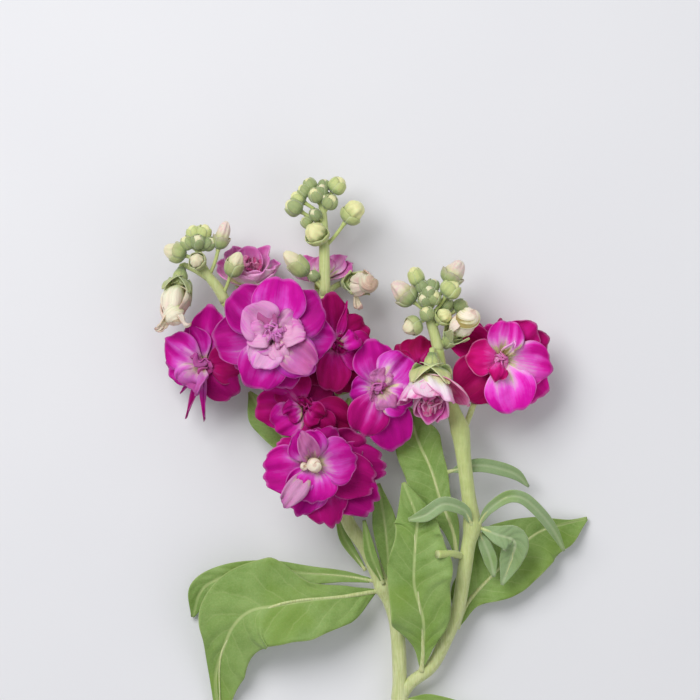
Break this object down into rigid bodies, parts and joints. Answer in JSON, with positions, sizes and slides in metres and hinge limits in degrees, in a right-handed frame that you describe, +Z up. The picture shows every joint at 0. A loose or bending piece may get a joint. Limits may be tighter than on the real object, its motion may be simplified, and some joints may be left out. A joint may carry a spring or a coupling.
{
  "type": "cut stock flower stem",
  "caption": "Cut branching flower stem lying down, with double ruffled blooms, bud clusters and lance-shaped leaves.",
  "frame": {"origin": "middle of the bounding box in X and Y, on the surface that the stem lies on", "axes": "+Y along the stem from its cut end to the flowers, +X to the right seen from above, +Z up from the surface"},
  "size_m": [0.1387, 0.2192, 0.04],
  "materials": {
    "stem": "pale green, slightly downy stem",
    "buds": "downy sage green calyces with cream tips",
    "petal_magenta": "soft satin petal, streaked paler at the middle",
    "petal_shaded": "soft satin petal, deep magenta",
    "petal_light": "soft satin petal, lighter pink",
    "petal_pale": "soft petal, pale outside and pink at the rim",
    "petal_cream": "soft cream petal tinged with pink",
    "leaf": "matt green leaf with a pale midrib",
    "leaf_young": "downy grey-green young leaf"
  },
  "bodies": {
    "root": {"stem": "stem", "buds_left": "buds", "buds_middle": "buds", "buds_right": "buds", "flower_front": "petal_magenta", "flower_low": "petal_magenta", "flower_left": "petal_magenta", "flower_beside_stem": "petal_magenta", "flower_right": "petal_magenta", "flower_upper_right": "petal_shaded", "flower_centre": "petal_shaded", "flower_behind_branch": "petal_shaded", "flower_half_open": "petal_pale", "flower_top_left": "petal_light", "flower_top_middle": "petal_light", "opening_bud_left": "petal_cream", "opening_bud_middle": "petal_cream", "opening_bud_right": "petal_cream", "leaf_lower_left": "leaf", "leaf_lower_left_behind": "leaf", "leaf_centre": "leaf", "leaf_upper": "leaf", "leaf_right": "leaf", "leaf_flower_side": "leaf", "leaf_node_tall": "leaf", "leaf_node_front": "leaf", "leaf_node_back": "leaf", "leaf_among_flowers": "leaf", "leaf_bottom_right": "leaf", "leaf_small_left": "leaf_young", "leaf_small_right": "leaf_young", "leaf_small_folded": "leaf_young", "leaf_small_low": "leaf_young", "leaf_behind_branch": "leaf_young"}
  },
  "joints": []
}
